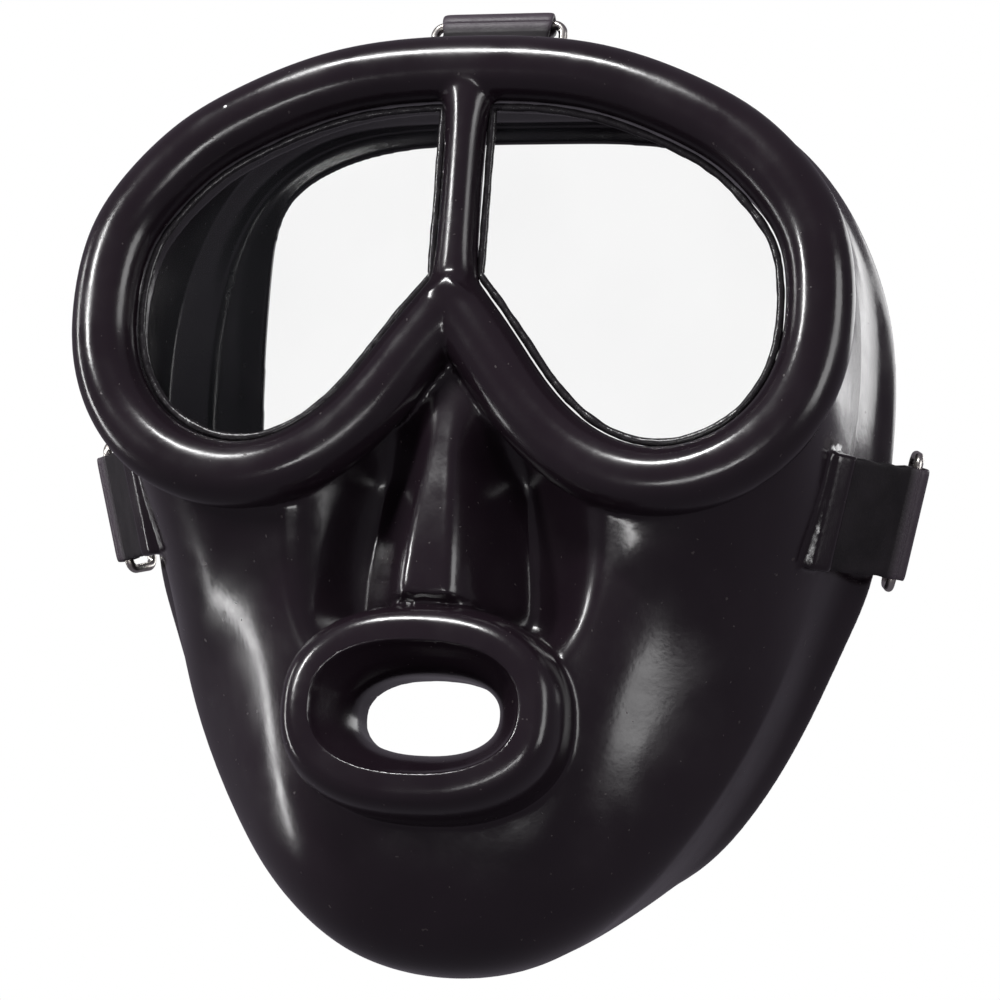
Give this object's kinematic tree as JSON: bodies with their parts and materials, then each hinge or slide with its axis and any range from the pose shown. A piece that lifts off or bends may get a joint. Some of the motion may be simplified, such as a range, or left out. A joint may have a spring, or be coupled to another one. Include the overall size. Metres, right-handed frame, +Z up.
{
  "type": "full face respirator",
  "caption": "Moulded rubber full-face mask with two flat windows, a nose pocket, an open oval mouth port, a rear face seal and strap loops that carry wire rings.",
  "frame": {"origin": "middle of the plane that the rear edge of the face seal lies in, halfway across and about halfway up the mask", "axes": "+Z up as worn, +X towards the wearer's left, +Y back towards the head, so the windows and the mouth port look along -Y"},
  "size_m": [0.1868, 0.0723, 0.2058],
  "materials": {
    "moulded_rubber": "glossy moulded black with a faint purple-brown tint",
    "rim_rubber": "glossy moulded black with a faint purple-brown tint",
    "seal_rubber": "satin black",
    "window_glass": "clear flat tempered glass",
    "gasket": "uneven glossy black sealant",
    "strap_rubber": "matte black",
    "ring_wire": "bright drawn wire"
  },
  "bodies": {
    "facepiece": {"front_shell": "moulded_rubber", "seal_skirt": "seal_rubber", "window_frame": "rim_rubber", "window_left": "window_glass", "window_right": "window_glass", "window_gasket_left": "gasket", "window_gasket_right": "gasket"},
    "strap_left": {"strap_loop_left": "strap_rubber"},
    "strap_right": {"strap_loop_right": "strap_rubber"},
    "strap_top": {"strap_loop_top": "strap_rubber"},
    "ring_left": {"wire_ring_left": "ring_wire"},
    "ring_right": {"wire_ring_right": "ring_wire"},
    "ring_top": {"wire_ring_top": "ring_wire"}
  },
  "joints": [
    {"name": "strap_left_bend", "type": "hinge", "parent": "facepiece", "child": "strap_left", "pos_m": [0.07658, -0.031, -0.00234], "axis": [0.215, -0.2492, 0.9443], "range_deg": [-40, 0], "stiffness_Nm_per_rad": 0.05},
    {"name": "strap_right_bend", "type": "hinge", "parent": "facepiece", "child": "strap_right", "pos_m": [-0.07658, -0.031, -0.00234], "axis": [0.215, 0.2492, -0.9443], "range_deg": [-40, 0], "stiffness_Nm_per_rad": 0.05},
    {"name": "strap_top_bend", "type": "hinge", "parent": "facepiece", "child": "strap_top", "pos_m": [0, -0.048, 0.09104], "axis": [-1, 0, 0], "range_deg": [-30, 10], "stiffness_Nm_per_rad": 0.05},
    {"name": "ring_left_swing", "type": "hinge", "parent": "strap_left", "child": "ring_left", "pos_m": [0.08863, -0.01213, -0.0001], "axis": [0.215, -0.2492, 0.9443], "range_deg": [-110, 5]},
    {"name": "ring_right_swing", "type": "hinge", "parent": "strap_right", "child": "ring_right", "pos_m": [-0.08863, -0.01213, -0.0001], "axis": [0.215, 0.2492, -0.9443], "range_deg": [-110, 5]},
    {"name": "ring_top_swing", "type": "hinge", "parent": "strap_top", "child": "ring_top", "pos_m": [0, -0.04165, 0.10204], "axis": [-1, 0, 0], "range_deg": [-110, 10]}
  ]
}
